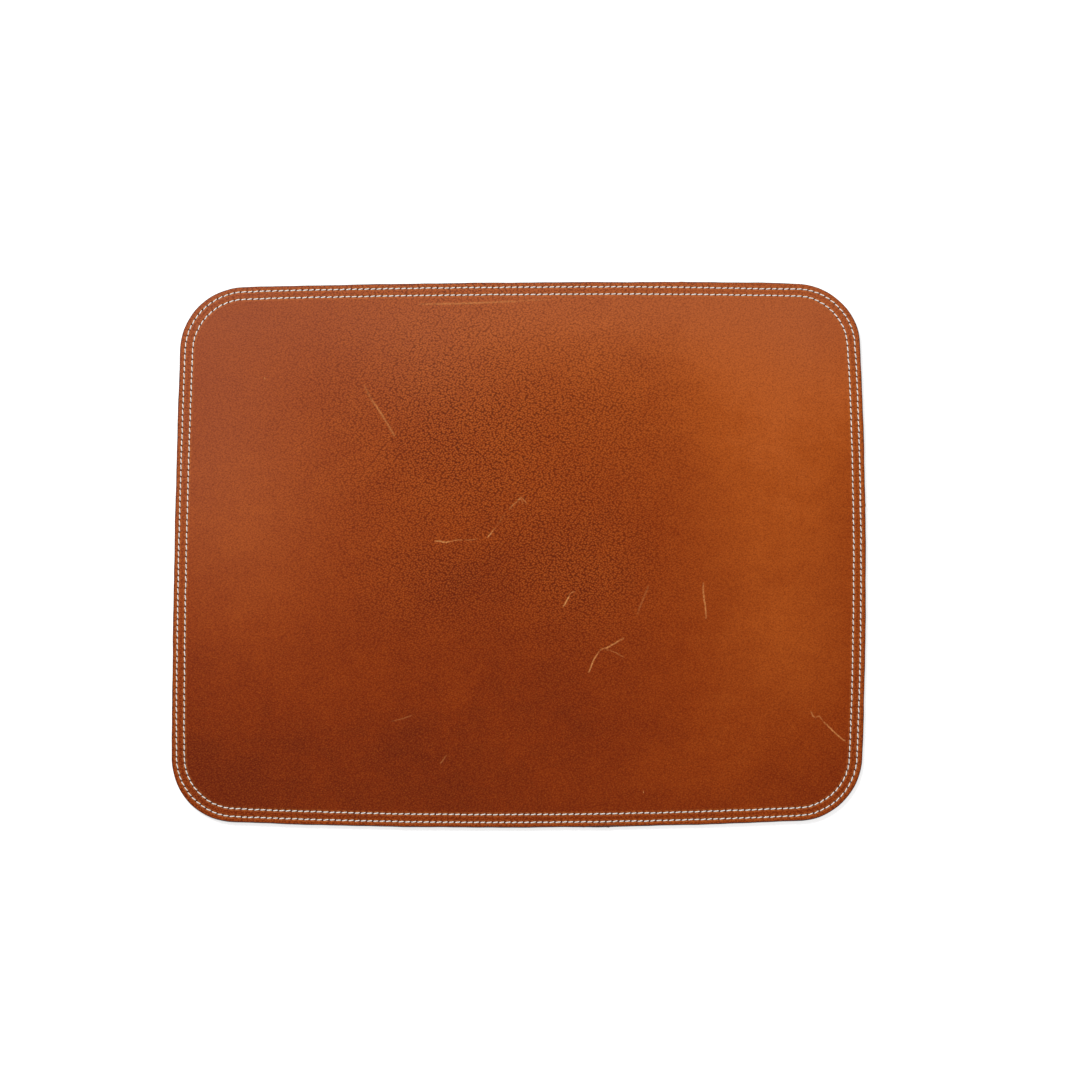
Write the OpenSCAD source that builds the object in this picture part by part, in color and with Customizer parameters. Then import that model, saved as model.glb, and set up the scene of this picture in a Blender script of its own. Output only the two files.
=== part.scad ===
// Sewn leather desk mat: a full-grain face sheet and a suede lining, cemented together and
// lockstitched with two rows of heavy thread round a painted edge.
// Origin: middle of the footprint, on the underside. +X runs to the right along the long side,
// +Y runs to the far side and +Z points up.

/* [Mat] */
// Overall width, left to right, at mid depth
mat_w = 610; // [400:1:900]
// Overall depth, near to far, at mid width
mat_d = 482; // [300:1:700]
// Radius of the four corners
corner_r = 57; // [30:1:120]
// Thickness of the face leather
face_t = 3.2; // [2:0.1:5]
// Thickness of the suede lining
lining_t = 1.6; // [1.2:0.1:3]
// Thickness of the cement between the two layers
cement_t = 0.1; // [0.05:0.05:0.3]
// Thickness of the painted edge
coat_t = 0.25; // [0.1:0.05:0.5]

/* [Hand-cut outline] */
// How far the left side swells out past its ends
bow_left = 2.5; // [0.5:0.5:15]
// How far the right side swells out past its ends
bow_right = 7; // [0.5:0.5:15]
// How far the far side swells out past its ends
bow_far = 3.5; // [0.5:0.5:15]
// How far the near side swells out past its ends
bow_near = 8; // [0.5:0.5:15]
// How far the far side is shifted to the right of the near side
lean = 5; // [-10:0.5:10]

/* [Stitching] */
// Distance from the edge to the outer row
outer_row = 4.5; // [3:0.1:6]
// Distance between the two rows
row_gap = 6.6; // [4:0.1:12]
// Length of one stitch, hole to hole
pitch = 5.5; // [4:0.1:8]
// Width of the thread as it lies in a stitch
thread_w = 1; // [0.6:0.1:1.2]
// Height of the thread as it lies in a stitch
thread_t = 0.8; // [0.4:0.1:1]
// Play between the thread and the wall of its hole
hole_play = 0.1; // [0.05:0.05:0.2]
// Play between the thread and the side of its channel
channel_play = 0.3; // [0.2:0.05:0.5]
// How far the upper stitches stand above the face
thread_proud = 0.3; // [0.1:0.1:0.4]
// How far the lower stitches are held above the table
thread_shy = 0.1; // [0.05:0.05:0.3]

/* [Hidden] */

// Straight pieces in half a side, and in one corner
side_steps = 8;
corner_steps = 16;
// Facets that a hole or a thread leg is drawn with
round_fn = 16;

// Heights, from the table up
cement_z = lining_t;
face_z = cement_z + cement_t;
mat_t = face_z + face_t;
upper_channel = thread_t - thread_proud;
lower_channel = thread_t + thread_shy;
lock_z = mat_t / 2;
// The edge coat stops short of both faces, where the edge is rounded over
coat_shy = 0.2;

// Stitching sizes that follow from the thread
inner_row = outer_row + row_gap;
hole_d = thread_w + 2 * hole_play;
channel_w = thread_w + 2 * channel_play;
// A stitch bar is a little narrower than the legs it runs between
bar_w = 0.9 * thread_w;

// Radius of an arc that swells by bow at the middle of a side, half a side long
function arc_radius(half, bow) = (half * half + bow * bow) / (2 * bow);

function on_arc(centre, r, angle) = centre + r * [cos(angle), sin(angle)];

// One quarter of the outline, from the +X axis to the +Y axis. Three tangent arcs make it:
// half of a side, the corner and half of the far side, all moved inwards by inset.
function quarter(bow_x, bow_y, inset) =
    let (
        half_w = mat_w / 2,
        half_d = mat_d / 2,
        side_r = arc_radius(half_d, bow_x),
        end_r = arc_radius(half_w, bow_y),
        side_c = [half_w - side_r, 0],
        end_c = [0, half_d - end_r],
        // The corner's centre is corner_r inside both of the long arcs
        reach_s = side_r - corner_r,
        reach_e = end_r - corner_r,
        across = end_c - side_c,
        gap = norm(across),
        along = (reach_s * reach_s - reach_e * reach_e + gap * gap) / (2 * gap),
        up = sqrt(reach_s * reach_s - along * along),
        corner_c = side_c + (along * across + up * [-across.y, across.x]) / gap,
        from = atan2(corner_c.y - side_c.y, corner_c.x - side_c.x),
        to = atan2(corner_c.y - end_c.y, corner_c.x - end_c.x)
    )
    [
        for (i = [0 : side_steps - 1])
            on_arc(side_c, side_r - inset, from * i / side_steps),
        for (i = [0 : corner_steps - 1])
            on_arc(corner_c, corner_r - inset, from + (to - from) * i / corner_steps),
        for (i = [0 : side_steps])
            on_arc(end_c, end_r - inset, to + (90 - to) * i / side_steps)
    ];

// The whole outline, anticlockwise from the middle of the right side
function outline(inset) =
    [
        for (turn = [[1, 1], [-1, 1], [-1, -1], [1, -1]])
            let (
                points = quarter(turn.x > 0 ? bow_right : bow_left,
                                 turn.y > 0 ? bow_far : bow_near, inset),
                last = len(points) - 1,
                back = turn.x != turn.y
            )
            for (i = [0 : last - 1])
                let (p = points[back ? last - i : i])
                    [turn.x * p.x + lean / mat_d * turn.y * p.y, turn.y * p.y]
    ];

// Evenly spaced stitch holes along the outline at this inset
function stitch_holes(inset) =
    let (
        points = outline(inset),
        n = len(points),
        run = [
            for (i = 0, s = 0; i <= n;
                 s = s + norm(points[(i + 1) % n] - points[i % n]), i = i + 1) s
        ],
        x_at = [for (i = [0 : n]) [run[i], points[i % n].x]],
        y_at = [for (i = [0 : n]) [run[i], points[i % n].y]],
        count = round(run[n] / pitch)
    )
    [
        for (k = [0 : count - 1])
            let (s = run[n] * k / count)
                [lookup(s, x_at), lookup(s, y_at)]
    ];

outer_holes = stitch_holes(outer_row);
inner_holes = stitch_holes(inner_row);

// The area inside the painted edge
module sheet() {
    polygon(outline(coat_t));
}

// The sheet with every stitch hole through it
module pierced_sheet() {
    difference() {
        sheet();
        for (p = concat(outer_holes, inner_holes))
            translate(p) circle(d = hole_d, $fn = round_fn);
    }
}

// The narrow ring that one row of stitches sinks into
module channel(row) {
    difference() {
        polygon(outline(row - channel_w / 2));
        polygon(outline(row + channel_w / 2));
    }
}

// The sheet with both channels cut out of it
module channelled_sheet() {
    difference() {
        sheet();
        channel(outer_row);
        channel(inner_row);
    }
}

// One thread of one row: a bar for each stitch, and a leg through each hole to the lock
module thread(holes, bar_z, leg_from, leg_to) {
    for (k = [0 : len(holes) - 1]) {
        here = holes[k];
        next = holes[(k + 1) % len(holes)];
        step = next - here;
        translate([here.x, here.y, leg_from])
            cylinder(h = leg_to - leg_from, d = thread_w, $fn = round_fn);
        translate([here.x, here.y, bar_z])
            rotate(atan2(step.y, step.x))
                translate([0, -bar_w / 2])
                    cube([norm(step), bar_w, thread_t]);
    }
}

// The upper thread lies on the floor of the face's channel
module needle_thread(holes) {
    color("ivory")
        thread(holes, mat_t - upper_channel, lock_z, mat_t + thread_proud);
}

// The lower thread lies against the roof of the lining's channel
module bobbin_thread(holes) {
    color("wheat")
        thread(holes, thread_shy, thread_shy, lock_z);
}

module lining_panel() {
    color("#8a6a4c") {
        linear_extrude(lower_channel) channelled_sheet();
        translate([0, 0, lower_channel])
            linear_extrude(lining_t - lower_channel) pierced_sheet();
    }
}

module cement_film() {
    color("#d8c48a")
        translate([0, 0, cement_z])
            linear_extrude(cement_t) pierced_sheet();
}

module top_panel() {
    color("#9a4a24") {
        translate([0, 0, face_z])
            linear_extrude(face_t - upper_channel) pierced_sheet();
        translate([0, 0, mat_t - upper_channel])
            linear_extrude(upper_channel) channelled_sheet();
    }
}

module edge_coat() {
    color("#3b1d12")
        translate([0, 0, coat_shy])
            linear_extrude(mat_t - 2 * coat_shy)
                difference() {
                    polygon(outline(0));
                    sheet();
                }
}

module outer_needle_thread() {
    needle_thread(outer_holes);
}

module outer_bobbin_thread() {
    bobbin_thread(outer_holes);
}

module inner_needle_thread() {
    needle_thread(inner_holes);
}

module inner_bobbin_thread() {
    bobbin_thread(inner_holes);
}

lining_panel();
cement_film();
top_panel();
edge_coat();
outer_needle_thread();
outer_bobbin_thread();
inner_needle_thread();
inner_bobbin_thread();
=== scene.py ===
import math

import bmesh
import bpy
import numpy as np
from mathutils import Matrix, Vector
from mathutils.geometry import delaunay_2d_cdt


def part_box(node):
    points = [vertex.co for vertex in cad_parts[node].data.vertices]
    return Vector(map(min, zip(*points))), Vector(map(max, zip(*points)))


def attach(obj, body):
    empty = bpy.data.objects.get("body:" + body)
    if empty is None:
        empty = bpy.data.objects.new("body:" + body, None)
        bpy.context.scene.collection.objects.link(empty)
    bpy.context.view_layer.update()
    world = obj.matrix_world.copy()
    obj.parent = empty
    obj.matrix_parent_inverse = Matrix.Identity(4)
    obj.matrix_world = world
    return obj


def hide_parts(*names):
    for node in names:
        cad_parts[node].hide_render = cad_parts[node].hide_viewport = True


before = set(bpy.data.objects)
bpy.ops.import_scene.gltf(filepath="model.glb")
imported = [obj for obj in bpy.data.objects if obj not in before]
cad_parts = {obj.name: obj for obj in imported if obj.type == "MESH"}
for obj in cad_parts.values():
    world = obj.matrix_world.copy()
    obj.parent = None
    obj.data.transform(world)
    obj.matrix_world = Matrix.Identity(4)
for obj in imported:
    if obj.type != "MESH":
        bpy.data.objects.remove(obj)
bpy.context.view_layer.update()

# ---------------------------------------------------------------------------------------------
# Sizes. Lengths are millimetres in the CAD frame until a mesh is made, which is in metres.
# ---------------------------------------------------------------------------------------------
MM = 0.001
WIDTH, DEPTH = 610.0, 482.0
CORNER_R = 57.0
BOW_LEFT, BOW_RIGHT, BOW_FAR, BOW_NEAR = 2.5, 7.0, 3.5, 8.0
LEAN = 5.0
OUTER_ROW = 4.5
ROW_GAP = 6.6
INNER_ROW = OUTER_ROW + ROW_GAP
MIDWAY = (OUTER_ROW + INNER_ROW) / 2
PITCH = 5.5
THREAD_R = 0.5
# How far the middle line of an upper stitch lies under the face
UPPER_SUNK = 0.14
# How far the lower stitches are held above the table
LOWER_CLEAR = 0.1

LINING_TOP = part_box("lining_panel")[1].z / MM
FACE_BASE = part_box("top_panel")[0].z / MM
FACE_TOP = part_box("top_panel")[1].z / MM
LOCK_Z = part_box("outer_bobbin_thread")[1].z / MM
COAT_T = 0.25

# Where the columns of the border mesh stand within one stitch, closer together at its holes
COLUMN_AT = (0.0, 0.09, 0.2, 0.35, 0.5, 0.65, 0.8, 0.91)
# Distance of each ring of the border mesh from the row that it follows, inwards
OUTER_RINGS = (-4.05, -3.6, -2.9, -2.1, -1.5, -1.0, -0.6, -0.3, 0, 0.3, 0.6, 1.0, 1.5, 2.2, 3.0)
INNER_RINGS = (-2.8, -1.9, -1.3, -0.9, -0.6, -0.3, 0, 0.3, 0.6, 1.0, 1.6, 2.6)
FIELD_INSET = 15.2
FIELD_STEP = 6.0
# Inset of the ring that closes each sheet's hidden side
BACK_INSET = 2.0

# Where each sheet is rounded over: the radius, the inset where it starts, and the least square
# that is left under the root past the end of the round
FACE_ROUND = (1.05, 1.25, 0.05)
LINING_ROUND = (0.5, 0.7, 0.02)
# How far under the face its wall begins
FACE_SHOULDER = 1.0
# How far inwards the knife's strays and the rim's darkening are felt
STRAY_REACH = 2.2
RIM_REACH = 0.75
SCRATCH_DEPTH = 0.12
# How far the laid sheet stands off the table, and the share of the way out where that begins
LIFT_HEIGHT = 0.55
LIFT_FROM = 0.72


# ---------------------------------------------------------------------------------------------
# Outline and rows of stitches
# ---------------------------------------------------------------------------------------------
def arc_radius(half, bow):
    """Radius of an arc that swells by bow at the middle of a side, half a side long."""
    return (half * half + bow * bow) / (2 * bow)


def quarter(bow_x, bow_y, inset, samples=300):
    """One quarter of the outline, from +X to +Y: half a side, the corner and half the far side."""
    half_w, half_d = WIDTH / 2, DEPTH / 2
    side_r, end_r = arc_radius(half_d, bow_x), arc_radius(half_w, bow_y)
    side_c, end_c = np.array([half_w - side_r, 0]), np.array([0, half_d - end_r])
    reach_s, reach_e = side_r - CORNER_R, end_r - CORNER_R
    across = end_c - side_c
    gap = np.hypot(*across)
    along = (reach_s**2 - reach_e**2 + gap**2) / (2 * gap)
    up = math.sqrt(reach_s**2 - along**2)
    corner_c = side_c + (along * across + up * np.array([-across[1], across[0]])) / gap
    start = math.atan2(*(corner_c - side_c)[::-1])
    end = math.atan2(*(corner_c - end_c)[::-1])
    arcs = (
        (side_c, side_r, 0, start),
        (corner_c, CORNER_R, start, end),
        (end_c, end_r, end, math.pi / 2),
    )
    points = []
    for centre, radius, a, b in arcs:
        t = np.linspace(a, b, samples)[: None if b == math.pi / 2 else -1]
        points.append(centre + (radius - inset) * np.stack([np.cos(t), np.sin(t)], 1))
    return np.concatenate(points)


def outline(inset):
    """The closed outline, anticlockwise from the middle of the right side."""
    points = []
    for sx, sy in ((1, 1), (-1, 1), (-1, -1), (1, -1)):
        bow_x = BOW_RIGHT if sx > 0 else BOW_LEFT
        bow_y = BOW_FAR if sy > 0 else BOW_NEAR
        part = quarter(bow_x, bow_y, inset) * [sx, sy]
        points.append((part[::-1] if sx != sy else part)[:-1])
    points = np.concatenate(points)
    points[:, 0] += LEAN / DEPTH * points[:, 1]
    return points


class Walk:
    """A closed curve that gives its point and its inward normal at any length along it."""

    def __init__(self, points):
        closed = np.vstack([points, points[:1]])
        self.run = np.r_[0, np.cumsum(np.hypot(*np.diff(closed, axis=0).T))]
        self.closed = closed
        self.length = self.run[-1]

    def at(self, s):
        s = np.mod(s, self.length)
        return np.stack([np.interp(s, self.run, self.closed[:, i]) for i in (0, 1)], 1)

    def even(self, count):
        """Evenly spaced points, all the way round."""
        return self.at(np.linspace(0, self.length, count, endpoint=False))

    def inward(self, s, reach=0.8):
        tangent = self.at(s + reach) - self.at(s - reach)
        tangent /= np.hypot(*tangent.T)[:, None]
        return np.stack([-tangent[:, 1], tangent[:, 0]], 1)


def ridge(distance, width):
    """1 on a line, falling off smoothly about width away from it."""
    return np.exp(-((distance / width) ** 2))


def dimple(across, along, width):
    """1 at a point, falling off smoothly about width away from it."""
    return np.exp(-(across**2 + along**2) / width**2)


edge_walk = Walk(outline(0))

# Bumps of the edge: length along it from the middle of the right side, height and width. The
# tail of the outer row makes the first one, and the second is a corner that was cut short.
EDGE_BUMPS = ((40.0, 0.4, 1.6), (250.0, -1.2, 40.0), (372.0, 0.35, 2.2), (1606.0, 0.25, 1.5),
              (1616.0, 0.25, 7.0), (1627.0, 0.3, 9.0), (1627.5, 0.4, 1.2))
# Where the edge paint ran, on the near side: length along the edge, and width
PAINT_RUNS = ((1616.0, 8.0), (1629.0, 9.0))


def edge_wobble(s):
    """How far the knife strayed outwards, at each length along the edge."""
    turn = 2 * math.pi * s / edge_walk.length
    wave = 0.10 * np.sin(23 * turn + 0.4) + 0.07 * np.sin(41 * turn + 1.9) + 0.05 * np.sin(97 * turn)
    for centre, size, width in EDGE_BUMPS:
        wave = wave + size * ridge(s - centre, width)
    return wave


# How far the sewing wandered inwards from each row's line, at shares of the way round
DRIFT_AT = (0.0, 0.08, 0.11, 0.14, 0.2, 0.36, 0.39, 0.42, 0.5, 0.58, 0.61, 0.64, 0.7, 0.86, 0.89,
            0.92, 1.0)
OUTER_DRIFT = (-0.2, -0.1, 1.2, 1.5, 0.1, -0.1, 0.65, 0.15, -0.45, -0.3, 0.9, 0.4, 0.1, 0.1, 0.45,
               0.2, -0.2)
INNER_DRIFT = (-0.4, -0.3, 1.3, 0.8, -0.05, -0.05, 0.8, 0.3, -0.35, -0.2, 1.1, 0.6, 0.25, 0.25, 0.5,
               0.1, -0.4)


class Row:
    """One row of stitches: where its holes are, and the mesh columns that follow it."""

    def __init__(self, inset, seed, drift):
        rng = np.random.default_rng(seed)
        self.inset = inset
        self.walk = Walk(outline(inset))
        self.count = round(self.walk.length / PITCH)
        self.pitch = self.walk.length / self.count
        self.hole_s = (np.arange(self.count) + rng.uniform(-0.05, 0.05, self.count)) * self.pitch
        share = np.arange(self.count) / self.count
        self.hole_side = rng.normal(0, 0.09, self.count) + np.interp(share, DRIFT_AT, drift)
        self.slant = rng.uniform(0.16, 0.34, self.count)
        self.rise = rng.normal(0, 0.03, self.count)
        self.depth = rng.uniform(0.8, 1.15, self.count)

    def next_s(self):
        return np.r_[self.hole_s[1:], self.hole_s[0] + self.walk.length]

    def columns(self):
        """For every column: length along the row, sideways shift of the row, distance to the
        nearest hole, how deep the leather is pulled there, and the place within the stitch."""
        at = np.array(COLUMN_AT)
        gap = (self.next_s() - self.hole_s)[:, None]
        s = self.hole_s[:, None] + at * gap
        side = self.hole_side[:, None] * (1 - at) + np.roll(self.hole_side, -1)[:, None] * at
        near = np.minimum(at, 1 - at) * gap
        pull = self.depth[:, None] * (1 - at) + np.roll(self.depth, -1)[:, None] * at
        phase = np.broadcast_to(at, s.shape)
        return [x.ravel() for x in (s, side, near, pull, phase)]

    def border(self):
        """For every column: its point on the row, the way inwards and the knife's stray."""
        s = self.columns()[0]
        stray = edge_wobble(s * edge_walk.length / self.walk.length)
        return self.walk.at(s), self.walk.inward(s), stray

    def line(self, offset):
        """The columns at this distance inwards. Near the edge they follow the knife's line."""
        base, inward, stray = self.border()
        felt = stray * math.exp(-(self.inset + offset) / STRAY_REACH)
        return base + inward * offset - inward * felt[:, None]

    def cut_line(self):
        """The columns at the cut edge itself, inside its paint."""
        base, inward, stray = self.border()
        return base + inward * (COAT_T - self.inset) - inward * stray[:, None]


outer_row = Row(OUTER_ROW, 11, OUTER_DRIFT)
inner_row = Row(INNER_ROW, 23, INNER_DRIFT)


def lift(points):
    """How far the laid sheet stands off the table: only near its border, and very little."""
    p = np.asarray(points)
    r = np.clip(np.hypot(p[:, 0] / (WIDTH / 2), p[:, 1] / (DEPTH / 2)) - LIFT_FROM, 0, 1)
    angle = np.arctan2(p[:, 1], p[:, 0])
    waves = 1 + 0.6 * np.sin(3 * angle + 0.7) + 0.4 * np.sin(7 * angle + 2.1)
    return LIFT_HEIGHT * r * waves.clip(0)


# ---------------------------------------------------------------------------------------------
# Mesh helpers
# ---------------------------------------------------------------------------------------------
class Build:
    """Collects points, faces and point values, then makes one Blender object from them."""

    def __init__(self):
        self.points, self.faces, self.values = [], [], {}
        self.count = 0

    def ring(self, xy, z, **values):
        xy = np.asarray(xy, float)
        z = np.broadcast_to(np.asarray(z, float), len(xy))
        self.points.append(np.column_stack([xy, z]))
        for name in {**self.values, **values}:
            had = self.values.setdefault(name, [np.zeros(self.count)])
            had.append(np.broadcast_to(np.asarray(values.get(name, 0.0), float), len(xy)))
        ids = np.arange(self.count, self.count + len(xy))
        self.count += len(xy)
        return ids

    def at(self, ids):
        return np.concatenate(self.points)[ids]

    def bridge(self, a, b):
        """Joins two closed rings: quads where they match, or else a strip of triangles."""
        if len(a) == len(b):
            self.faces += np.column_stack([a, np.roll(a, -1), np.roll(b, -1), b]).tolist()
            return
        pa, pb = self.at(a)[:, :2], self.at(b)[:, :2]
        na, nb, i, j = len(a), len(b), 0, 0
        while i < na or j < nb:
            step_a = np.hypot(*(pa[(i + 1) % na] - pb[j % nb])) if i < na else math.inf
            step_b = np.hypot(*(pa[i % na] - pb[(j + 1) % nb])) if j < nb else math.inf
            if step_a <= step_b:
                self.faces.append([a[i % na], a[(i + 1) % na], b[j % nb]])
                i += 1
            else:
                self.faces.append([a[i % na], b[(j + 1) % nb], b[j % nb]])
                j += 1

    def make(self, name):
        co = np.concatenate(self.points)
        co[:, 2] += lift(co)
        mesh = bpy.data.meshes.new(name)
        mesh.from_pydata((co * MM).tolist(), [], self.faces)
        for key, parts in self.values.items():
            attribute = mesh.attributes.new(key, "FLOAT", "POINT")
            attribute.data.foreach_set("value", np.concatenate(parts).astype(np.float32))
        bm = bmesh.new()
        bm.from_mesh(mesh)
        bmesh.ops.recalc_face_normals(bm, faces=bm.faces)
        bm.to_mesh(mesh)
        bm.free()
        mesh.polygons.foreach_set("use_smooth", [True] * len(mesh.polygons))
        obj = bpy.data.objects.new(name, mesh)
        bpy.context.scene.collection.objects.link(obj)
        return obj


def inside(points, fence):
    """Which points lie inside the closed fence."""
    hit = np.zeros(len(points), bool)
    x, y = points.T
    for (x1, y1), (x2, y2) in zip(fence, np.roll(fence, -1, 0)):
        crosses = (y1 > y) != (y2 > y)
        if crosses.any():
            hit[crosses] ^= x[crosses] < (x2 - x1) * (y[crosses] - y1) / (y2 - y1) + x1
    return hit


# ---------------------------------------------------------------------------------------------
# Shape and colour fields of the face leather
# ---------------------------------------------------------------------------------------------
# Soft patches: x, y, reach along x, reach along y, amount. Tone runs from dark (0) to light (1).
TONE_PATCHES = (
    (228, 60, 72, 260, 0.42),
    (200, 155, 80, 60, 0.14),
    (290, 150, 30, 60, 0.14),
    (245, -100, 70, 60, 0.16),
    (-265, 25, 85, 110, 0.30),
    (40, 210, 170, 45, 0.30),
    (-200, 190, 90, 70, -0.07),
    (-35, -30, 45, 25, -0.10),
    (-10, -5, 110, 50, -0.08),
    (-290, 0, 25, 200, -0.1),
    (-75, 100, 50, 35, -0.10),
    (-100, -175, 50, 40, -0.10),
    (20, -120, 35, 30, -0.09),
    (110, -205, 110, 35, 0.12),
    (160, -160, 50, 80, 0.12),
    (265, -215, 40, 40, -0.08),
    (-265, -205, 60, 45, -0.14),
)
# Patches of pale haze, partly the hide's own and partly a painted reflection: x, y, reach along x,
# reach along y, amount
HAZE_AND_SHEEN_PATCHES = (
    (-290, 120, 120, 150, 0.75),
    (0, 235, 400, 60, 0.8),
    (-90, 170, 80, 60, 0.35),
    (270, 190, 70, 60, 0.3),
)
GRAIN_PATCHES = (
    (-40, 110, 130, 130, 0.95),
    (60, -20, 60, 60, 0.6),
    (-80, -30, 60, 40, 0.3),
    (100, 140, 60, 80, 0.28),
)

# Scratches: strength, width, then the points that each one runs through
SCRATCHES = (
    (0.22, 1.6, (-137, 150), (-135, 145), (-131, 138)),
    (0.5, 1.6, (-134, 143), (-130, 136), (-126, 130), (-120, 121), (-114, 111), (-110, 104)),
    (0.45, 1.5, (-88, 222), (-60, 222), (-25, 223), (5, 224)),
    (0.28, 1.2, (0, 224), (40, 226), (75, 227), (96, 229)),
    (1.0, 1.1, (-74, 10), (-70, 10), (-65, 9), (-58, 10)),
    (0.6, 0.8, (-60, 10), (-55, 11), (-50, 11)),
    (0.45, 0.8, (-47, 11), (-42, 11), (-37, 12)),
    (0.9, 0.9, (-28, 13), (-25, 16), (-23, 19)),
    (0.5, 0.8, (-24, 18), (-22, 20), (-20, 22)),
    (0.14, 0.9, (-20, 23), (-17, 27), (-14, 31), (-12, 35)),
    (0.55, 0.9, (-8, 38), (-5, 42), (-1, 45), (2, 49)),
    (1.1, 1.2, (-1, 46), (1, 47.5), (3, 49)),
    (0.5, 0.8, (2, 49), (4, 47), (7, 43)),
    (0.35, 0.8, (1, 48), (3, 45), (4, 43)),
    (1.2, 1.0, (39, -48), (41, -45), (43, -41), (45, -37)),
    (0.6, 0.8, (44, -38), (46, -36), (49, -35)),
    (1.0, 1.0, (61, -106), (63, -101), (65, -96), (68, -91), (70, -88)),
    (0.75, 1.1, (69, -89), (72, -86), (78, -84), (85, -80), (92, -76)),
    (0.4, 0.8, (75, -86), (80, -87), (85, -89), (92, -93)),
    (0.25, 1.3, (104, -55), (107, -47), (110, -40), (114, -30)),
    (0.8, 1.1, (162, -28), (162, -36), (163, -44), (164, -52), (164, -59)),
    (0.65, 1.0, (255, -141), (256, -144), (259, -147)),
    (0.4, 1.0, (259, -146), (262, -145), (265, -149)),
    (0.9, 1.0, (265, -149), (270, -154), (276, -160), (282, -165), (287, -169)),
    (0.3, 0.9, (-112, -148), (-103, -146), (-94, -143)),
    (0.45, 0.9, (-69, -185), (-66, -181), (-64, -178)),
    (1.2, 0.6, (108, -209.5), (108.3, -211)),
    (1.0, 0.8, (-226, 156.5), (-225.5, 155.5)),
)


def patches(table, x, y):
    """The sum of a table's soft patches at each point."""
    return sum(
        amount * np.exp(-(((x - px) / rx) ** 2) - ((y - py) / ry) ** 2)
        for px, py, rx, ry, amount in table
    )


def tone_at(p):
    """Tone of the hide by its patches, and lighter to the far side: partly the hide's own tone and
    partly painted light from the lamp on that side.
    """
    x, y = p[:, 0], p[:, 1]
    # The rise toward the far side is partly painted light
    return 0.36 + 0.30 * y / (DEPTH / 2) + patches(TONE_PATCHES, x, y)


def fields(p, pull=0.0, toward=0.0):
    """Colour fields that the leather's material reads, at each point. The stretched border is
    pulled toward one tone, by the share given."""
    tone = tone_at(p)
    return {
        "tone": tone + pull * (toward - tone),
        "haze_and_sheen": patches(HAZE_AND_SHEEN_PATCHES, p[:, 0], p[:, 1]),
        "grain": patches(GRAIN_PATCHES, p[:, 0], p[:, 1]) + pull,
    }


# How far the border's tone is evened out, and toward which tone, up to each inset
BORDER_TONES = ((3.9, 0.5, 0.72), (10.7, 0.35, 0.5), (math.inf, 0, 0))


def border_tone(inset):
    """How far the tone is pulled toward one tone at this inset, and that tone."""
    return next((pull, toward) for limit, pull, toward in BORDER_TONES if inset < limit)


def seam_shape(offset, columns):
    """Height of the leather beside a row of stitches, how far it is stretched, and how much painted
    shade lies in its holes and trough. offset is the distance inwards from the row."""
    _, side, near, pull, phase = columns
    a = offset - side
    wave = np.cos(2 * math.pi * phase)
    trough = 0.58 * ridge(a, 0.72)
    hole = 0.75 * pull * dimple(a, near, 0.52)
    # Leather bulges beside the middle of a stitch and is drawn down beside its holes
    pucker = 0.16 * pull * wave * ridge(abs(a) - 1.0, 0.9)
    lip = 0.07 * ridge(abs(a) - 1.7, 0.6)
    height = lip - trough - hole - pucker
    stretched = ridge(abs(a) - 1.05, 0.6) * (0.65 - 0.35 * wave)
    # Painted shade in the stitch holes and along the trough
    sunk = 1.3 * dimple(a, near, 0.75) + 0.3 * ridge(a, 0.6)
    return height, stretched, sunk.clip(0, 1)


def rounded_over(inset, radius, start, least):
    """How far a sheet's surface has fallen away at this inset, where its edge is rounded."""
    return radius - math.sqrt(max(radius**2 - max(0.0, start - inset) ** 2, least))


def swell(p):
    """Slow unevenness in the hide's thickness."""
    x, y = p[:, 0], p[:, 1]
    return (
        0.05 * np.sin(x / 31 + y / 57)
        + 0.05 * np.sin(y / 27 - x / 73 + 1.3)
        + 0.03 * np.sin(x / 13 + y / 17 + 0.5)
    )


# ---------------------------------------------------------------------------------------------
# Pieces
# ---------------------------------------------------------------------------------------------
def smooth_line(points, step=1.2):
    """Points every step along a curve through the given points."""
    p = np.array(points, float)
    p = np.vstack([2 * p[0] - p[1], p, 2 * p[-1] - p[-2]])
    out = []
    for a, b, c, d in zip(p, p[1:], p[2:], p[3:]):
        n = max(2, int(np.hypot(*(c - b)) / step))
        t = (np.arange(n) / n)[:, None]
        out.append(
            0.5 * (2 * b + (c - a) * t + (2 * a - 5 * b + 4 * c - d) * t**2
                   + (3 * b - 3 * c + d - a) * t**3)
        )
    return np.vstack([*out, p[-2:-1]])


def scratch_points():
    """Mesh points on and beside each scratch, with the scratch's strength at each."""
    rng = np.random.default_rng(5)
    points, marks = [], []
    for strength, width, *path in SCRATCHES:
        line = smooth_line(path)
        line += rng.normal(0, 0.12, line.shape)
        tangent = np.gradient(line, axis=0)
        tangent /= np.hypot(*tangent.T)[:, None]
        normal = np.stack([-tangent[:, 1], tangent[:, 0]], 1)
        ends = np.sin(np.linspace(0.1, 0.9, len(line)) * math.pi) ** 0.6
        patchy = rng.uniform(0.7, 1.15, len(line))
        for across, share in ((0, 1.0), (-0.9, 0.0), (0.9, 0.0)):
            points.append(line + normal * across * width)
            marks.append(share * strength * ends * patchy)
        points.append(np.stack([line[0] - tangent[0], line[-1] + tangent[-1]]))
        marks.append(np.zeros(2))
    return np.concatenate(points), np.concatenate(marks)


def fill_inside(build, rim, points, ids):
    """Fills a closed ring with triangles that meet at the points, whose numbers are ids."""
    rim_xy = build.at(rim)[:, :2]
    n = len(rim_xy)
    edges = [(i, (i + 1) % n) for i in range(n)]
    everything = [Vector(p) for p in np.vstack([rim_xy, points])]
    _, _, faces, origin, _, _ = delaunay_2d_cdt(everything, edges, [], 1, 1e-6, True)
    known = np.r_[rim, ids]
    lookup = [known[o[0]] for o in origin]
    build.faces += [[lookup[i] for i in f] for f in faces]


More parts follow.
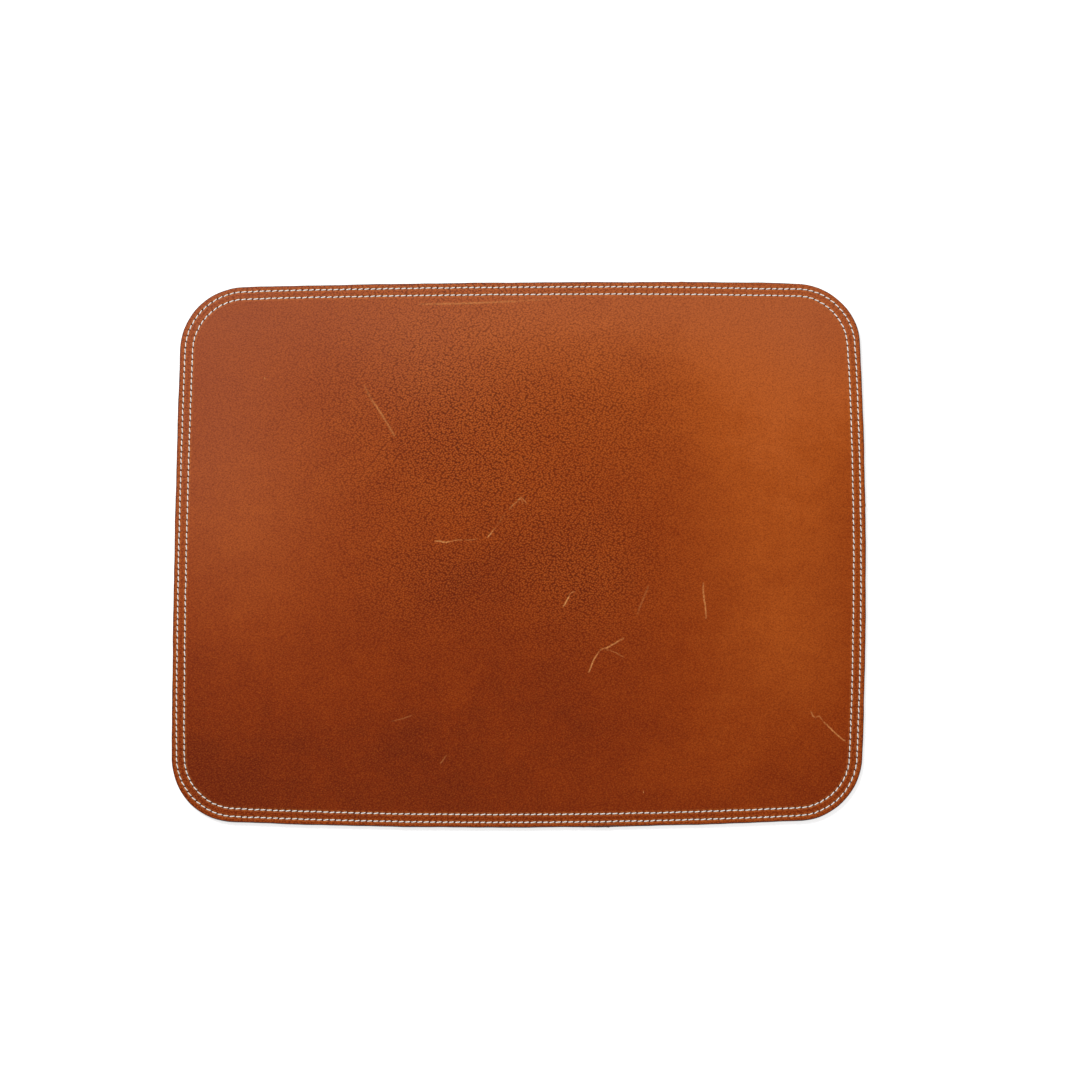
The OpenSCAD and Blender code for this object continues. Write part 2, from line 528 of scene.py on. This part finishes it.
def face_field(build, rim):
    """Fills the face inside its border with a mesh that carries the scratches."""
    rows = np.arange(-DEPTH / 2, DEPTH / 2, FIELD_STEP * math.sqrt(0.75))
    grid = [
        (x + (i % 2) * FIELD_STEP / 2, y)
        for i, y in enumerate(rows)
        for x in np.arange(-WIDTH / 2, WIDTH / 2, FIELD_STEP)
    ]
    grid = np.array(grid) + np.random.default_rng(3).uniform(-0.8, 0.8, (len(grid), 2))
    scored, marks = scratch_points()
    kept = inside(scored, outline(FIELD_INSET + 0.5)[::5])
    scored, marks = scored[kept], marks[kept]
    grid = grid[inside(grid, outline(FIELD_INSET + 2.2)[::5])]
    # The even mesh gives way to the scratches' own points
    clear = np.array([np.hypot(*(scored - g).T).min() > 1.8 for g in grid])
    grid = grid[clear]
    field = np.vstack([grid, scored])
    marks = np.r_[np.zeros(len(grid)), marks]
    z = FACE_TOP + swell(field) - SCRATCH_DEPTH * marks.clip(0, 1)
    ids = build.ring(field, z, scratch=marks, **fields(field))
    fill_inside(build, rim, field, ids)


def face_leather():
    """The full-grain face sheet."""
    build = Build()
    rings = []
    for row, offsets in ((outer_row, OUTER_RINGS), (inner_row, INNER_RINGS)):
        columns = row.columns()
        for offset in offsets:
            inset = row.inset + offset
            xy = row.line(offset)
            height, stretched, sunk = seam_shape(offset, columns)
            between = 0.10 * math.exp(-(((inset - MIDWAY) / 1.5) ** 2))
            z = FACE_TOP + height + between - rounded_over(inset, *FACE_ROUND) + swell(xy)
            rim = math.exp(-(inset / RIM_REACH) ** 2)
            look = fields(xy, *border_tone(inset))
            rings.append(build.ring(xy, z, seam=stretched, sunk=sunk, rim=rim, **look))
        if row is outer_row:
            wall = row.cut_line()
            top = build.ring(wall, FACE_TOP - FACE_SHOULDER, rim=1.0, **fields(wall))
            foot = build.ring(wall, FACE_BASE, rim=1.0, **fields(wall))
            build.bridge(foot, top)
            build.bridge(top, rings[0])
    for a, b in zip(rings, rings[1:]):
        build.bridge(a, b)
    last = rings[-1]
    for inset, share in ((14.5, 2), (FIELD_INSET, 4)):
        xy = Walk(outline(inset)).even(inner_row.count * len(COLUMN_AT) // share)
        ring = build.ring(xy, FACE_TOP + swell(xy), **fields(xy))
        build.bridge(last, ring)
        last = ring
    face_field(build, last)
    back = build.ring(Walk(outline(BACK_INSET)).even(outer_row.count), FACE_BASE)
    build.bridge(foot, back)
    build.faces.append(back.tolist())
    return build.make("face_leather")


def lining_suede():
    """The suede split under the face, grooved by the lower threads."""
    build = Build()
    rings = []
    for row, offsets in ((outer_row, OUTER_RINGS), (inner_row, INNER_RINGS)):
        _, side, near, _, _ = row.columns()
        for offset in offsets:
            a = offset - side
            groove = np.exp(-((a / 0.8) ** 4)) + 0.3 * dimple(a, near, 0.5)
            z = groove.clip(0, 1.35) + rounded_over(row.inset + offset, *LINING_ROUND)
            # The groove gets painted shade along its middle
            rings.append(build.ring(row.line(offset), z, sunk=ridge(a, 0.9)))
        if row is outer_row:
            wall = row.cut_line()
            foot = build.ring(wall, LINING_ROUND[0])
            top = build.ring(wall, LINING_TOP)
            build.bridge(top, foot)
            build.bridge(foot, rings[0])
    for a, b in zip(rings, rings[1:]):
        build.bridge(a, b)
    last = rings[-1]
    for inset, count in ((15.3, 1400), (18.0, 600), (26.0, 260)):
        ring = build.ring(Walk(outline(inset)).even(count), 0.0)
        build.bridge(last, ring)
        last = ring
    fill_flat(build, last, 0.0)
    back = build.ring(Walk(outline(BACK_INSET)).even(outer_row.count), LINING_TOP)
    build.bridge(top, back)
    build.faces.append(back.tolist())
    return build.make("lining_suede")


def fill_flat(build, rim, z, step=12.0):
    """Fills a closed ring with an even mesh at one height."""
    grid = np.array([
        (x, y)
        for y in np.arange(-DEPTH / 2, DEPTH / 2, step)
        for x in np.arange(-WIDTH / 2, WIDTH / 2, step)
    ])
    grid = grid[inside(grid, build.at(rim)[:, :2] * (1 - step / WIDTH))]
    fill_inside(build, rim, grid, build.ring(grid, z))


def cement_layer():
    """The dried cement between the two sheets."""
    build = Build()
    xy = Walk(outline(0.6)).even(720)
    low = build.ring(xy, LINING_TOP)
    high = build.ring(xy, FACE_BASE)
    build.bridge(low, high)
    fill_flat(build, high, FACE_BASE, 30.0)
    fill_flat(build, low, LINING_TOP, 30.0)
    return build.make("cement_layer")


# Cross-section of the painted edge: inset from the edge, and height as a share of the mat's
# thickness, up the outside and then down the inside
COAT_OUTSIDE = ((0.6, -0.02), (0.35, 0.02), (0.12, 0.08), (0.02, 0.2), (0.0, 0.5), (0.02, 0.76),
                (0.07, 0.85), (0.16, 0.915), (0.28, 0.955), (0.42, 0.98))
COAT_INSIDE = ((0.42, 0.955), (0.36, 0.92), (0.32, 0.84), (0.3, 0.5), (0.33, 0.14), (0.5, 0.06))
# The lips are what lies further in than this, and the upper lip lies above this share
LIP_INSET, LIP_SHARE = 0.4, 0.95


def painted_edge():
    """The burnished paint that wraps the cut edge."""
    build = Build()
    s = np.linspace(0, edge_walk.length, 1480, endpoint=False)
    base, inward = edge_walk.at(s), edge_walk.inward(s)
    stray = edge_wobble(s)
    ragged = 0.12 * np.sin(s / 3.1) * np.sin(s / 7.3 + 1) + 0.08 * np.sin(s / 1.3)
    rings = []
    # The upper lip is widest on the near side, and widest of all where the paint ran
    near_side = (-base[:, 1] / (DEPTH / 2) - 0.9).clip(0, 0.1) * 10
    run = 0.6 * near_side + 0.5 * sum(ridge(s - c, w) for c, w in PAINT_RUNS)
    for inset, share in COAT_OUTSIDE + COAT_INSIDE:
        wander = np.zeros(len(s))
        if inset > LIP_INSET:
            wander += ragged
        if inset > LIP_INSET and share > LIP_SHARE:
            wander += run
        xy = base + inward * (inset + wander - stray)[:, None]
        z = np.full(len(s), share * FACE_TOP).clip(0.0)
        if share > LIP_SHARE:
            z += 0.16 * run + swell(xy)
        rings.append(build.ring(xy, z))
    for a, b in zip(rings, rings[1:] + rings[:1]):
        build.bridge(a, b)
    return build.make("painted_edge")


# Half a stitch, from the lock to near its middle: distance from the hole, share of the slant,
# height over the stitch's middle line, share of the full radius, and how far the hole's shade and
# wax have darkened it
HALF_STITCH = (
    (0.00, 0.0, None, 0.5, 1.0),
    (0.20, 0.3, -2.0, 0.55, 1.0),
    (0.34, 0.5, -1.2, 0.62, 1.0),
    (0.50, 0.8, -0.74, 0.74, 1.0),
    (0.72, 1.0, -0.40, 0.88, 0.8),
    (1.02, 0.95, -0.14, 1.0, 0.2),
    (1.40, 0.75, -0.03, 1.04, 0.0),
    (1.84, 0.5, 0.0, 1.06, 0.0),
    (2.28, 0.25, 0.01, 1.06, 0.0),
)
# The middle of a stitch: its height over the middle line, and its share of the full radius
CROWN_RISE, CROWN_GIRTH = 0.01, 1.06
# How far each thread's loop stops short of the lock, and how far its leg's next station does
LOOP_SHORT, LEG_SHORT = 0.3, 0.55
PLIES = 3
PLY_LAY = 4.4
# Radius between the plies' ridges and grooves, and the ridges' height, as shares of the radius
PLY_BASE, PLY_RIDGE = 0.9, 0.13
SECTION = 12
# Stitches of the outer row that are doubled, and how far aside and above the second ones lie
BACK_TACK = (6, 9, 0.34, 0.16)


def stitch_stations(row, top, first=0, last=None, aside=0.0, above=0.0):
    """Centreline, way inwards, radius and shade of a sewn thread, stitch by stitch. top is the
    height of its stitches' middle line."""
    sign = 1 if top > LOCK_Z else -1
    deepest = LEG_SHORT - abs(top - LOCK_Z)
    centre, radius, shaded = [], [], []
    for k in range(first, row.count if last is None else last):
        start = row.hole_s[k]
        gap = (row.hole_s[(k + 1) % row.count] - start) % row.walk.length
        shift = (row.hole_side[k], row.hole_side[(k + 1) % row.count])
        for end in (False, True):
            half = HALF_STITCH[1:][::-1] if end else HALF_STITCH
            for reach, slanted, rise, girth, shade in half:
                reach = reach * gap / row.pitch
                s = start + (gap - reach if end else reach)
                part = (s - start) / gap
                slant = row.slant[k] * slanted * (1 if end else -1)
                side = shift[0] * (1 - part) + shift[1] * part + slant + aside
                crown = row.rise[k] * slanted + above
                z = LOCK_Z + sign * LOOP_SHORT
                if rise is not None:
                    z = top + sign * (max(rise, deepest) + crown)
                centre.append((s, side, z))
                radius.append(THREAD_R * girth)
                shaded.append(shade)
            if not end:
                z = top + sign * (CROWN_RISE + row.rise[k] + above)
                centre.append((start + gap / 2, sum(shift) / 2 + aside, z))
                radius.append(THREAD_R * CROWN_GIRTH)
                shaded.append(0.0)
    centre = np.array(centre)
    inward = row.walk.inward(centre[:, 0])
    xy = row.walk.at(centre[:, 0]) + inward * centre[:, 1:2]
    return np.column_stack([xy, centre[:, 2]]), inward, np.array(radius), np.array(shaded)


def twist_tube(build, centre, inward, radius, shaded, closed=True):
    """A twisted cord along the centreline, with one ridge for each ply."""
    if closed:
        tangent = np.roll(centre, -1, 0) - np.roll(centre, 1, 0)
    else:
        tangent = np.gradient(centre, axis=0)
    tangent /= np.linalg.norm(tangent, axis=1)[:, None]
    side = np.column_stack([inward, np.zeros(len(inward))])
    normal = np.cross(tangent, side)
    normal /= np.linalg.norm(normal, axis=1)[:, None]
    side = np.cross(normal, tangent)
    run = np.r_[0, np.cumsum(np.linalg.norm(np.diff(centre, axis=0), axis=1))]
    turns = run / PLY_LAY
    if closed:
        whole = run[-1] + np.linalg.norm(centre[0] - centre[-1])
        turns = run * round(whole / PLY_LAY * PLIES) / PLIES / whole
    around = np.arange(SECTION) * 2 * math.pi / SECTION
    ply = np.cos(PLIES * around)
    reach = radius[:, None] * (PLY_BASE + PLY_RIDGE * ply)
    angle = around + 2 * math.pi * turns[:, None]
    points = (
        centre[:, None]
        + (reach * np.cos(angle))[..., None] * side[:, None]
        + (reach * np.sin(angle))[..., None] * normal[:, None]
    )
    flat = points.reshape(-1, 3)
    ids = build.ring(flat[:, :2], flat[:, 2], ply=np.tile(0.5 + 0.5 * ply, len(centre)),
                     shaded=np.repeat(shaded, SECTION))
    ids = ids.reshape(-1, SECTION)
    n = len(ids)
    for i in range(n if closed else n - 1):
        a, b = ids[i], ids[(i + 1) % n]
        if closed and i == n - 1:
            # The last ring meets the first a whole number of plies further round
            full = turns[-1] + (whole - run[-1]) * turns[-1] / run[-1]
            b = np.roll(b, -round(SECTION * full) % SECTION)
        build.faces += np.column_stack([a, np.roll(a, -1), np.roll(b, -1), b]).tolist()
    if not closed:
        build.faces += [ids[0][::-1].tolist(), ids[-1].tolist()]


def sewn_thread(name, row, top, tails):
    """One continuous thread of a row. tails are runs of stitches that are sewn over twice."""
    build = Build()
    twist_tube(build, *stitch_stations(row, top))
    for tail in tails:
        twist_tube(build, *stitch_stations(row, top, *tail), closed=False)
    return build.make(name)


# ---------------------------------------------------------------------------------------------
# Materials
# ---------------------------------------------------------------------------------------------
def linear(code):
    """A colour written as six hex digits, as linear RGBA."""
    channels = [int(code[i:i + 2], 16) / 255 for i in (0, 2, 4)]
    return [c / 12.92 if c <= 0.04045 else ((c + 0.055) / 1.055) ** 2.4 for c in channels] + [1.0]


class Shade:
    """A short way to write a node material. Sockets or numbers go in, and sockets come out."""

    def __init__(self, name):
        self.material = bpy.data.materials.new(name)
        self.material.use_nodes = True
        self.nodes = self.material.node_tree.nodes
        self.links = self.material.node_tree.links
        self.nodes.clear()
        out = self.nodes.new("ShaderNodeOutputMaterial")
        self.bsdf = self.nodes.new("ShaderNodeBsdfPrincipled")
        self.links.new(self.bsdf.outputs[0], out.inputs["Surface"])
        scale = self.nodes.new("ShaderNodeVectorMath")
        scale.operation = "SCALE"
        scale.inputs["Scale"].default_value = 1 / MM
        self.links.new(self.nodes.new("ShaderNodeTexCoord").outputs["Object"], scale.inputs[0])
        self.place = scale.outputs[0]

    def plug(self, socket, value):
        if isinstance(value, bpy.types.NodeSocket):
            self.links.new(value, socket)
        else:
            socket.default_value = value

    def math(self, operation, *values, clamp=False):
        n = self.nodes.new("ShaderNodeMath")
        n.operation = operation
        n.use_clamp = clamp
        for socket, value in zip(n.inputs, values):
            self.plug(socket, value)
        return n.outputs[0]

    def add(self, a, b):
        return self.math("ADD", a, b)

    def times(self, a, b):
        return self.math("MULTIPLY", a, b)

    def field(self, name):
        n = self.nodes.new("ShaderNodeAttribute")
        n.attribute_name = name
        return n.outputs["Fac"]

    def stretch(self, x, y, z=1.0, turn=0.0, at=None):
        """Place, turned about Z and then stretched."""
        n = self.nodes.new("ShaderNodeMapping")
        n.inputs["Rotation"].default_value = (0, 0, turn)
        n.inputs["Scale"].default_value = (x, y, z)
        self.links.new(at or self.place, n.inputs["Vector"])
        return n.outputs[0]

    def noise(self, size, detail, rough, at=None, warp=0.0):
        """Noise whose lumps are about size millimetres across, from 0 to 1."""
        n = self.nodes.new("ShaderNodeTexNoise")
        n.inputs["Scale"].default_value = 1 / size
        n.inputs["Detail"].default_value = detail
        n.inputs["Roughness"].default_value = rough
        n.inputs["Distortion"].default_value = warp
        self.links.new(at or self.place, n.inputs["Vector"])
        return n.outputs["Fac"]

    def cells(self, size, at, random=1.0):
        """Distance from the middle of cells that are about size millimetres across."""
        n = self.nodes.new("ShaderNodeTexVoronoi")
        n.voronoi_dimensions = "2D"
        n.inputs["Scale"].default_value = 1 / size
        n.inputs["Randomness"].default_value = random
        self.links.new(at, n.inputs["Vector"])
        return n.outputs["Distance"]

    def warped(self, size, amount):
        """Place, pushed about by noise."""
        n = self.nodes.new("ShaderNodeTexNoise")
        n.inputs["Scale"].default_value = 1 / size
        n.inputs["Detail"].default_value = 2.0
        self.links.new(self.place, n.inputs["Vector"])
        push = self.nodes.new("ShaderNodeVectorMath")
        push.operation = "MULTIPLY_ADD"
        push.inputs[1].default_value = (amount, amount, amount)
        self.links.new(n.outputs["Color"], push.inputs[0])
        self.links.new(self.place, push.inputs[2])
        return push.outputs[0]

    def span(self, value, low, high, to_low=0.0, to_high=1.0):
        """Value, taken smoothly from the range low to high to the range to_low to to_high."""
        n = self.nodes.new("ShaderNodeMapRange")
        n.interpolation_type = "SMOOTHSTEP"
        for name, v in (("Value", value), ("From Min", low), ("From Max", high),
                        ("To Min", to_low), ("To Max", to_high)):
            self.plug(n.inputs[name], v)
        return n.outputs["Result"]

    def ramp(self, value, stops):
        """Colour at value, from stops that each hold a place and six hex digits."""
        n = self.nodes.new("ShaderNodeValToRGB")
        self.plug(n.inputs["Fac"], value)
        ramp = n.color_ramp
        while len(ramp.elements) < len(stops):
            ramp.elements.new(0.5)
        for element, (at, code) in zip(ramp.elements, stops):
            element.position = at
            element.color = linear(code)
        return n.outputs["Color"]

    def mix(self, share, a, b):
        """Colour a, with this share of colour b."""
        n = self.nodes.new("ShaderNodeMix")
        n.data_type = "RGBA"
        self.plug(n.inputs["Factor"], share)
        self.plug(n.inputs[6], a)
        self.plug(n.inputs[7], b)
        return n.outputs[2]

    def bump(self, height, depth, under=None):
        """A bump whose full height is depth millimetres."""
        n = self.nodes.new("ShaderNodeBump")
        n.inputs["Distance"].default_value = depth * MM
        self.links.new(height, n.inputs["Height"])
        if under is not None:
            self.links.new(under, n.inputs["Normal"])
        return n.outputs["Normal"]

    def finish(self, obj, color, rough, normal, specular):
        self.plug(self.bsdf.inputs["Base Color"], color)
        self.plug(self.bsdf.inputs["Roughness"], rough)
        self.plug(self.bsdf.inputs["Normal"], normal)
        self.bsdf.inputs["Specular IOR Level"].default_value = specular
        obj.data.materials.clear()
        obj.data.materials.append(self.material)


def leather_tone(m):
    """Mottled cognac brown under a pale haze that is partly the hide's own and partly painted
    reflection, with the clouds that its gloss follows too.
    """
    mottle = m.noise(48, 4, 0.6, warp=0.6)
    cloud = m.noise(16, 4, 0.65, warp=0.4)
    smear = m.noise(9, 3, 0.6, at=m.stretch(0.3, 1.0, turn=0.5))
    blotch = m.noise(4.5, 3, 0.6)
    tone = m.field("tone")
    for source, amount in ((mottle, 0.34), (cloud, 0.26), (smear, 0.14), (blotch, 0.16)):
        tone = m.add(tone, m.times(m.add(source, -0.5), amount))
    color = m.ramp(tone, (
        (0.0, "702102"), (0.2, "822b02"), (0.4, "913604"),
        (0.6, "9e420c"), (0.8, "ad4e13"), (1.0, "bb5a1f"),
    ))
    # The pale haze mixed in here is partly painted reflection
    return m.mix(m.times(m.field("haze_and_sheen"), 0.42), color, linear("a05e48")), cloud


def leather_grain(m, color):
    """Pebbles with dark creases where they meet, a few open pores and specks. The creases and pores
    are darkened partly by their own colour and partly by painted shade, and the pebbles' tops are
    lighter, partly with a painted highlight. Gives the colour, the pebbles' relief and the specks."""
    pebble = m.cells(1.75, m.stretch(0.82, 1.12, turn=0.5, at=m.warped(9, 3.0)), random=0.85)
    fine = m.cells(1.1, m.warped(3, 1.2))
    pores = m.cells(2.6, m.warped(5, 2.0))
    speck = m.noise(0.9, 2, 0.6)
    patchy = m.span(m.noise(10, 3, 0.6), 0.32, 0.58, 0.75, 1.0)
    mask = m.math("MULTIPLY", m.field("grain"), patchy, clamp=True)
    shown = m.add(m.times(mask, 0.8), 0.2)
    crease = m.span(pebble, 0.4, 0.7)
    pore = m.span(pores, 0.1, 0.26, 0.8, 0.0)
    # Painted shade, with the creases' own darker colour, in the creases and pores
    crease_dark_and_shade = m.math("MAXIMUM", m.times(crease, 0.85), pore)
    color = m.mix(m.times(crease_dark_and_shade, m.times(shown, 0.8)), color, linear("320c00"))
    # Lighter pebble tops, partly a painted highlight
    top = m.span(pebble, 0.45, 0.1)
    color = m.mix(m.times(top, m.times(shown, 0.5)), color, linear("d5742f"))
    color = m.mix(m.times(m.span(fine, 0.4, 0.75), 0.22), color, linear("511905"))
    color = m.mix(m.times(m.span(speck, 0.5, 0.75), 0.35), color, linear("511905"))
    color = m.mix(m.times(m.span(speck, 0.5, 0.25), 0.3), color, linear("be631e"))
    relief = m.add(m.times(m.span(pebble, 0.75, 0.2), m.times(shown, 0.8)),
                   m.times(m.span(fine, 0.7, 0.2), 0.2))
    return color, relief, speck


def leather_wear(m, color):
    """Seams stretched lighter, painted shade in the stitch holes, rim dark, scratches pale and
    broken.
    Gives the colour and the scratches."""
    flicker = m.span(m.noise(2.2, 3, 0.7), 0.35, 0.6, 0.35, 1.0)
    seam = m.math("MULTIPLY", m.field("seam"), flicker, clamp=True)
    color = m.mix(m.times(seam, 0.65), color, linear("d5803e"))
    # Painted shade in the stitch holes and the trough beside each row
    color = m.mix(m.times(m.field("sunk"), 0.7), color, linear("290f05"))
    color = m.mix(m.times(m.field("rim"), 0.55), color, linear("4a1f10"))
    broken = m.span(m.noise(1.6, 2, 0.6), 0.3, 0.6, 0.35, 1.0)
    scratch = m.math("MULTIPLY", m.field("scratch"), broken, clamp=True)
    return m.mix(m.times(scratch, 0.95), color, linear("e9a05d")), scratch


def leather_finish(obj):
    """Waxed pull-up leather: mottled cognac brown, pebbled in the middle, scratched and hazy.
    Its haze is partly painted reflection, and its creases and stitch holes hold painted shade.
    """
    m = Shade("face_leather")
    color, cloud = leather_tone(m)
    color, relief, speck = leather_grain(m, color)
    color, scratch = leather_wear(m, color)
    rough = m.add(m.add(0.52, m.times(m.add(cloud, -0.5), 0.18)), m.times(scratch, 0.2))
    normal = m.bump(relief, 0.14)
    normal = m.bump(speck, 0.03, normal)
    m.finish(obj, color, rough, normal, specular=0.07)


def suede_finish(obj):
    """Natural suede split: matt, fibrous and a little uneven."""
    m = Shade("lining_suede")
    nap = m.noise(1.1, 6, 0.75, at=m.stretch(0.45, 1.0, turn=0.6))
    cloud = m.noise(38, 4, 0.6, warp=0.8)
    color = m.ramp(m.add(m.times(cloud, 0.7), m.times(nap, 0.3)),
                   ((0.25, "6b4a30"), (0.5, "82603f"), (0.75, "99775a")))
    fleck = m.span(m.noise(0.6, 3, 0.7), 0.55, 0.75)
    color = m.mix(m.times(fleck, 0.3), color, linear("b29372"))
    # Painted shade in the grooves that the lower threads press in
    color = m.mix(m.times(m.field("sunk"), 0.5), color, linear("3d2818"))
    normal = m.bump(nap, 0.25)
    normal = m.bump(m.noise(0.3, 3, 0.7), 0.06, normal)
    m.finish(obj, color, m.add(0.88, m.times(nap, 0.1)), normal, specular=0.1)


def thread_finish(obj):
    """Bonded off-white thread: fine fibres along each ply, with painted shade in the grooves between
    the plies.
    """
    m = Shade("thread")
    fibre = m.noise(0.18, 3, 0.6)
    length = m.noise(14, 2, 0.5)
    color = m.ramp(m.add(m.times(fibre, 0.5), m.times(length, 0.5)),
                   ((0.3, "f4efe6"), (0.5, "fbf8f2"), (0.7, "ffffff")))
    # Painted shade in the grooves between the plies
    groove = m.span(m.field("ply"), 0.0, 0.55, 1.0, 0.0)
    color = m.mix(m.times(groove, 0.16), color, linear("b0a387"))
    color = m.mix(m.times(m.field("shaded"), 0.9), color, linear("7a4420"))
    m.finish(obj, color, m.add(0.55, m.times(fibre, 0.2)), m.bump(fibre, 0.03), specular=0.3)


def edge_finish(obj):
    """Brushed edge paint: almost black brown, low sheen, worn lighter in places."""
    m = Shade("edge_paint")
    brushed = m.noise(3.5, 4, 0.6, at=m.stretch(1.0, 1.0, 3.0))
    worn = m.span(m.noise(26, 4, 0.7), 0.5, 0.75)
    color = m.ramp(brushed, ((0.3, "2a120a"), (0.55, "3a1a0e"), (0.75, "4d2412")))
    color = m.mix(m.times(worn, 0.5), color, linear("6a3318"))
    m.finish(obj, color, m.add(0.42, m.times(brushed, 0.25)), m.bump(brushed, 0.12), specular=0.35)


def cement_finish(obj):
    """Dried contact cement: dull amber with strings in it."""
    m = Shade("contact_cement")
    strings = m.noise(2.5, 5, 0.7, at=m.stretch(0.3, 1.0, turn=0.9))
    color = m.ramp(strings, ((0.3, "a8894f"), (0.55, "c2a468"), (0.8, "d9c48f")))
    m.finish(obj, color, m.add(0.5, m.times(strings, 0.3)), m.bump(strings, 0.05), specular=0.3)


# ---------------------------------------------------------------------------------------------
# Scene
# ---------------------------------------------------------------------------------------------
# The camera's lens in millimetres, its place in metres and its turn in degrees
CAMERA_LENS = 70
CAMERA_PLACE = (0.0572, -0.1364, 1.8498)
CAMERA_TILT = (4.551, 1.212, -0.205)
# Each lamp's name, place and size in metres, and watts
LAMPS = (
    ("key", (-1.2, 1.7, 2.4), (1.4, 1.1), 69),
    ("fill", (2.2, -0.8, 2.4), (1.6, 1.6), 13),
)
# Strength of the world as it lights the mat, and as it is seen or reflected
WORLD_LIGHT, WORLD_SEEN = 0.49, 1.25
# The floor: how far it reaches and its height in metres, its grey, and its glow where it is seen
FLOOR_REACH, FLOOR_Z = 12.0, -0.0002
FLOOR_GREY, FLOOR_GLOW = 0.82, 0.55


def sheet_area(inset):
    """Flat area of the sheet cut at this inset, in square metres."""
    x, y = outline(inset).T
    return 0.5 * abs(float(np.sum(x * np.roll(y, -1) - y * np.roll(x, -1)))) * MM * MM


def add_mat():
    """Makes and finishes every piece, hangs it on the root body and hides the CAD part that it
    stands for.
    """
    face, lining = face_leather(), lining_suede()
    leather_finish(face)
    suede_finish(lining)
    cement = cement_layer()
    cement_finish(cement)
    edge = painted_edge()
    edge_finish(edge)
    upper = FACE_TOP - UPPER_SUNK
    lower = LOWER_CLEAR + THREAD_R
    # The outer row starts and ends on the right side, where its last stitches are doubled
    threads = (
        ("outer_upper_thread", outer_row, upper, (BACK_TACK,), "outer_needle_thread"),
        ("outer_lower_thread", outer_row, lower, (), "outer_bobbin_thread"),
        ("inner_upper_thread", inner_row, upper, (), "inner_needle_thread"),
        ("inner_lower_thread", inner_row, lower, (), "inner_bobbin_thread"),
    )
    pieces = [
        (face, "top_panel", "face_leather"),
        (lining, "lining_panel", "lining_suede"),
        (cement, "cement_film", "contact_cement"),
        (edge, "edge_coat", "edge_paint"),
    ]
    for name, row, top, doubled, node in threads:
        thread = sewn_thread(name, row, top, doubled)
        thread_finish(thread)
        pieces.append((thread, node, "thread"))
    for piece, node, slot in pieces:
        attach(piece, "root")
        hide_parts(node)
    sheet_area(COAT_T)
    sheet_area(COAT_T)


def add_camera():
    """Straight down from about the height of a copy stand, tilted a few degrees."""
    data = bpy.data.cameras.new("camera")
    data.lens = CAMERA_LENS
    data.sensor_width = 36
    data.clip_end = 20
    camera = bpy.data.objects.new("camera", data)
    camera.location = CAMERA_PLACE
    camera.rotation_euler = [math.radians(a) for a in CAMERA_TILT]
    bpy.context.scene.collection.objects.link(camera)
    bpy.context.scene.camera = camera


def add_lamp(name, place, size, watts):
    """A soft lamp that faces the middle of the mat."""
    data = bpy.data.lights.new(name, "AREA")
    data.shape = "RECTANGLE"
    data.size, data.size_y = size
    data.energy = watts
    lamp = bpy.data.objects.new(name, data)
    lamp.location = place
    lamp.rotation_euler = (-Vector(place)).to_track_quat("-Z", "Y").to_euler()
    bpy.context.scene.collection.objects.link(lamp)


def backdrop_rays(nodes, links):
    """A socket that is 1 where a ray shows the background: seen by the camera, reflected or
    passed through something clear."""
    path = nodes.new("ShaderNodeLightPath")
    seen = path.outputs["Is Camera Ray"]
    for kind in ("Is Glossy Ray", "Is Transmission Ray"):
        either = nodes.new("ShaderNodeMath")
        either.operation = "MAXIMUM"
        links.new(seen, either.inputs[0])
        links.new(path.outputs[kind], either.inputs[1])
        seen = either.outputs[0]
    return seen


def add_world():
    """Plain white surroundings, brighter where they are seen than where they light the mat."""
    world = bpy.data.worlds.new("studio")
    bpy.context.scene.world = world
    world.use_nodes = True
    nodes, links = world.node_tree.nodes, world.node_tree.links
    nodes.clear()
    strength = nodes.new("ShaderNodeMapRange")
    strength.inputs["To Min"].default_value = WORLD_LIGHT
    strength.inputs["To Max"].default_value = WORLD_SEEN
    links.new(backdrop_rays(nodes, links), strength.inputs["Value"])
    background = nodes.new("ShaderNodeBackground")
    links.new(strength.outputs["Result"], background.inputs["Strength"])
    out = nodes.new("ShaderNodeOutputWorld")
    links.new(background.outputs[0], out.inputs["Surface"])


def add_floor():
    """A pale floor that keeps the mat's shadow."""
    mesh = bpy.data.meshes.new("floor")
    turns = ((-1, -1), (1, -1), (1, 1), (-1, 1))
    corners = [(x * FLOOR_REACH, y * FLOOR_REACH, FLOOR_Z) for x, y in turns]
    mesh.from_pydata(corners, [], [(0, 1, 2, 3)])
    floor = bpy.data.objects.new("floor", mesh)
    bpy.context.scene.collection.objects.link(floor)
    material = bpy.data.materials.new("pale_floor")
    material.use_nodes = True
    nodes, links = material.node_tree.nodes, material.node_tree.links
    nodes.clear()
    diffuse = nodes.new("ShaderNodeBsdfDiffuse")
    diffuse.inputs["Color"].default_value = (FLOOR_GREY, FLOOR_GREY, FLOOR_GREY, 1)
    glow = nodes.new("ShaderNodeEmission")
    lit = nodes.new("ShaderNodeMath")
    lit.operation = "MULTIPLY"
    lit.inputs[1].default_value = FLOOR_GLOW
    links.new(backdrop_rays(nodes, links), lit.inputs[0])
    links.new(lit.outputs[0], glow.inputs["Strength"])
    both = nodes.new("ShaderNodeAddShader")
    links.new(diffuse.outputs[0], both.inputs[0])
    links.new(glow.outputs[0], both.inputs[1])
    out = nodes.new("ShaderNodeOutputMaterial")
    links.new(both.outputs[0], out.inputs["Surface"])
    mesh.materials.append(material)


def main():
    add_camera()
    add_mat()
    add_world()
    add_floor()
    for lamp in LAMPS:
        add_lamp(*lamp)
    bpy.context.scene.view_settings.view_transform = "Standard"


main()
